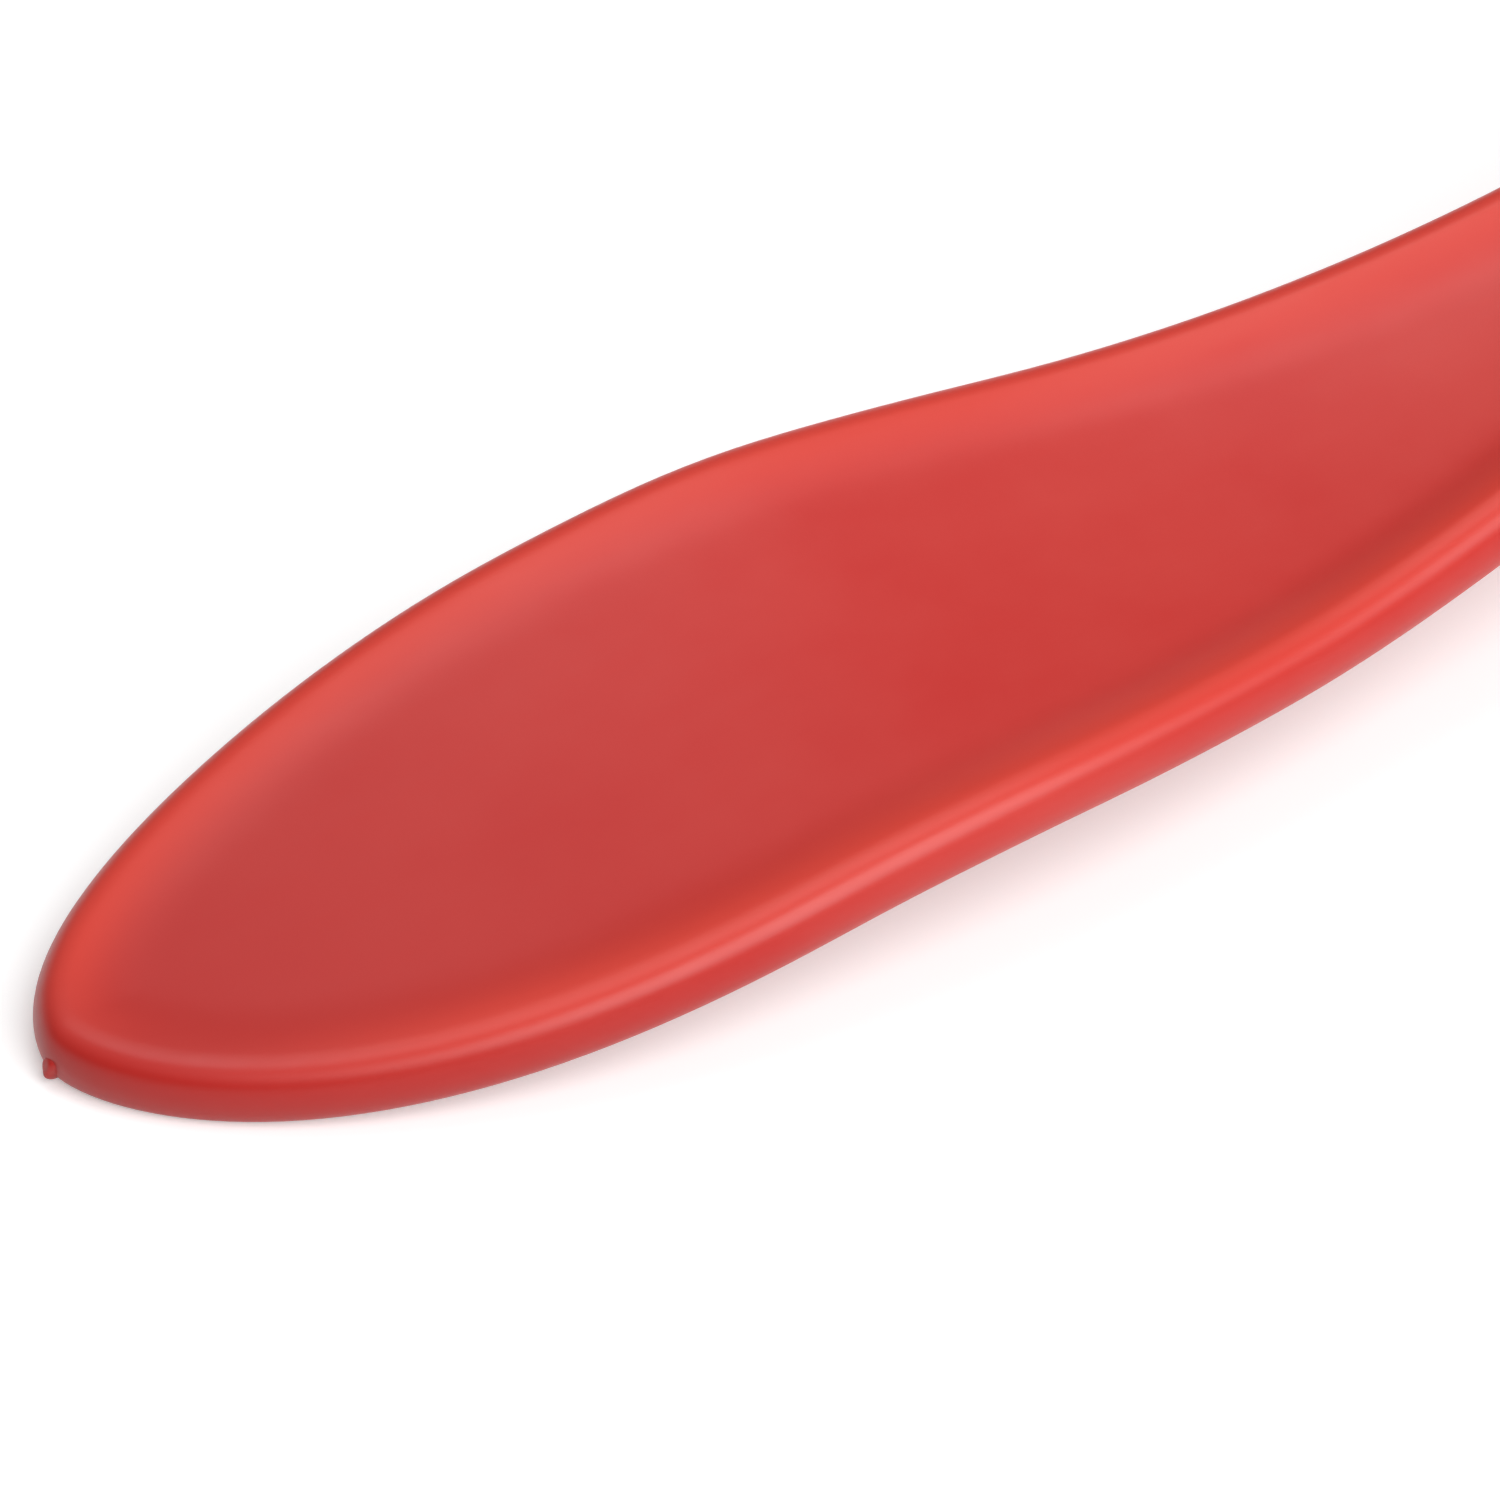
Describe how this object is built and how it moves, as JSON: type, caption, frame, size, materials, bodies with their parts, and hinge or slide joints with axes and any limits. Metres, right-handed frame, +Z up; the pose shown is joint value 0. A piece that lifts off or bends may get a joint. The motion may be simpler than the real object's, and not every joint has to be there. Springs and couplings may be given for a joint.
{
  "type": "butter spatula",
  "caption": "Flat dished handle with a white flexible blade moulded over its tongue, one front corner round and one nearly square, for spreading butter and scraping bowls.",
  "frame": {"origin": "centre of the overall box, on the surface that the spatula lies on", "axes": "+X along the handle towards the blade, +Y across towards the round corner, +Z up, out of the dished face"},
  "size_m": [0.2504, 0.052, 0.0218],
  "materials": {
    "handle_red": "satin moulded red plastic",
    "blade_white": "matt white silicone"
  },
  "bodies": {
    "root": {"handle": "handle_red", "blade": "blade_white"}
  },
  "joints": []
}
